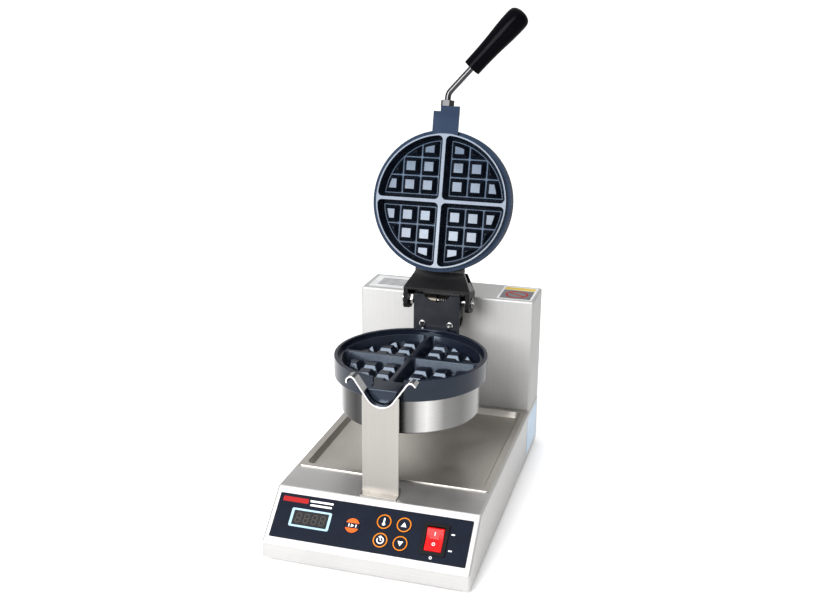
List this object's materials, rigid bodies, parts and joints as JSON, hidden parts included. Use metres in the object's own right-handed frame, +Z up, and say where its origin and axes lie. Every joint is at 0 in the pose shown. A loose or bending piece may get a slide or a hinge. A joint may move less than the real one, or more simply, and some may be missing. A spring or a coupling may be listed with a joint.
{
  "type": "rotary waffle baker",
  "caption": "Bench-top waffle iron that tips open and turns over on a stainless base, with a stud-pattern round casting pair, a sloped control panel and a drip tray.",
  "frame": {"origin": "on the floor under the middle of the overall box", "axes": "+Z up, -Y towards the front where the controls and the handle are, +X to the right seen from the front; the lid is open at rest"},
  "size_m": [0.2503, 0.442, 0.621],
  "materials": {
    "housing_steel": "brushed stainless",
    "panel_steel": "brushed stainless",
    "tray_steel": "brushed stainless",
    "support_steel": "brushed stainless",
    "polished_steel": "polished stainless",
    "cover_steel": "spun and brushed stainless",
    "screw_steel": "polished",
    "turned_steel": "turned",
    "bearing_steel": "machined",
    "bronze": "machined",
    "spring_steel": "drawn wire",
    "chrome_rod": "plated",
    "coated_casting": "dark non-stick coating",
    "black_casting": "black enamel",
    "black_steel": "black satin",
    "heater_steel": "oxidised",
    "insulation_wool": "pressed ceramic wool",
    "overlay_film": "printed film",
    "frame_plastic": "moulded",
    "lens_plastic": "smoked",
    "module_plastic": "moulded",
    "black_plastic": "moulded",
    "rocker_plastic": "translucent moulding",
    "key_plastic": "printed keys",
    "board_laminate": "solder mask",
    "standoff_brass": "plated",
    "rubber": "moulded",
    "label_film": "printed film",
    "grip_plastic": "glossy black moulding"
  },
  "bodies": {
    "base": {"base_housing": "housing_steel", "base_bottom_plate": "panel_steel", "bottom_screws": "screw_steel", "rubber_feet": "rubber", "foot_screws": "screw_steel", "support_plate": "support_steel", "support_yoke": "polished_steel", "support_screws": "screw_steel", "control_overlay": "overlay_film", "display_frame": "frame_plastic", "display_lens": "lens_plastic", "display_module": "module_plastic", "switch_bezel": "black_plastic", "switch_body": "black_plastic", "control_board": "board_laminate", "board_standoffs": "standoff_brass", "power_board": "board_laminate", "terminal_block": "module_plastic", "cable_gland": "black_plastic", "tower_housing": "housing_steel", "tower_back_cover": "panel_steel", "back_cover_screws": "screw_steel", "top_labels": "label_film", "side_label": "label_film", "shaft_frame": "panel_steel", "bearing_block": "bearing_steel", "front_bearing": "bronze", "rear_bearing": "bronze"},
    "tray": {"drip_tray": "tray_steel"},
    "rocker": {"power_rocker": "rocker_plastic"},
    "iron": {"lower_mould": "coated_casting", "lower_heater": "heater_steel", "lower_insulation": "insulation_wool", "lower_cover": "cover_steel", "lower_cover_screws": "screw_steel", "shaft_flange": "turned_steel", "main_shaft": "turned_steel", "neck_bolts": "screw_steel", "hinge_bracket": "black_steel", "bracket_screws": "screw_steel", "hinge_spring": "spring_steel", "hinge_bush": "bronze"},
    "lid": {"upper_mould": "coated_casting", "upper_heater": "heater_steel", "upper_insulation": "insulation_wool", "upper_cover": "cover_steel", "upper_cover_screws": "screw_steel", "hinge_arm": "black_casting", "arm_bolts": "screw_steel", "hinge_pin": "turned_steel", "hinge_nut": "screw_steel", "handle_nut": "screw_steel", "handle_rod": "chrome_rod", "handle_grip": "grip_plastic"},
    "start_key": {"start_button": "key_plastic"},
    "temperature_key": {"temperature_button": "key_plastic"},
    "timer_key": {"timer_button": "key_plastic"},
    "up_key": {"up_button": "key_plastic"},
    "down_key": {"down_button": "key_plastic"}
  },
  "joints": [
    {"name": "tray_lift", "type": "slide", "parent": "base", "child": "tray", "axis": [0, 0, 1], "range_m": [0, 0.018]},
    {"name": "power_rocker_tilt", "type": "hinge", "parent": "base", "child": "rocker", "pos_m": [0.0775, -0.19178, 0.04451], "axis": [-1, 0, 0], "range_deg": [0, 16]},
    {"name": "iron_roll", "type": "hinge", "parent": "base", "child": "iron", "pos_m": [0, 0.139, 0.202], "axis": [0, 1, 0], "range_deg": [0, 35]},
    {"name": "lid_hinge", "type": "hinge", "parent": "iron", "child": "lid", "pos_m": [0, 0.1015, 0.2365], "axis": [1, 0, 0], "range_deg": [0, 103.5]},
    {"name": "start_key_press", "type": "slide", "parent": "base", "child": "start_key", "axis": [0, 0.6598, -0.7514], "range_m": [0, 0.0008], "stiffness_N_per_m": 1500},
    {"name": "temperature_key_press", "type": "slide", "parent": "base", "child": "temperature_key", "axis": [0, 0.6598, -0.7514], "range_m": [0, 0.0008], "stiffness_N_per_m": 1500},
    {"name": "timer_key_press", "type": "slide", "parent": "base", "child": "timer_key", "axis": [0, 0.6598, -0.7514], "range_m": [0, 0.0008], "stiffness_N_per_m": 1500},
    {"name": "up_key_press", "type": "slide", "parent": "base", "child": "up_key", "axis": [0, 0.6598, -0.7514], "range_m": [0, 0.0008], "stiffness_N_per_m": 1500},
    {"name": "down_key_press", "type": "slide", "parent": "base", "child": "down_key", "axis": [0, 0.6598, -0.7514], "range_m": [0, 0.0008], "stiffness_N_per_m": 1500}
  ]
}
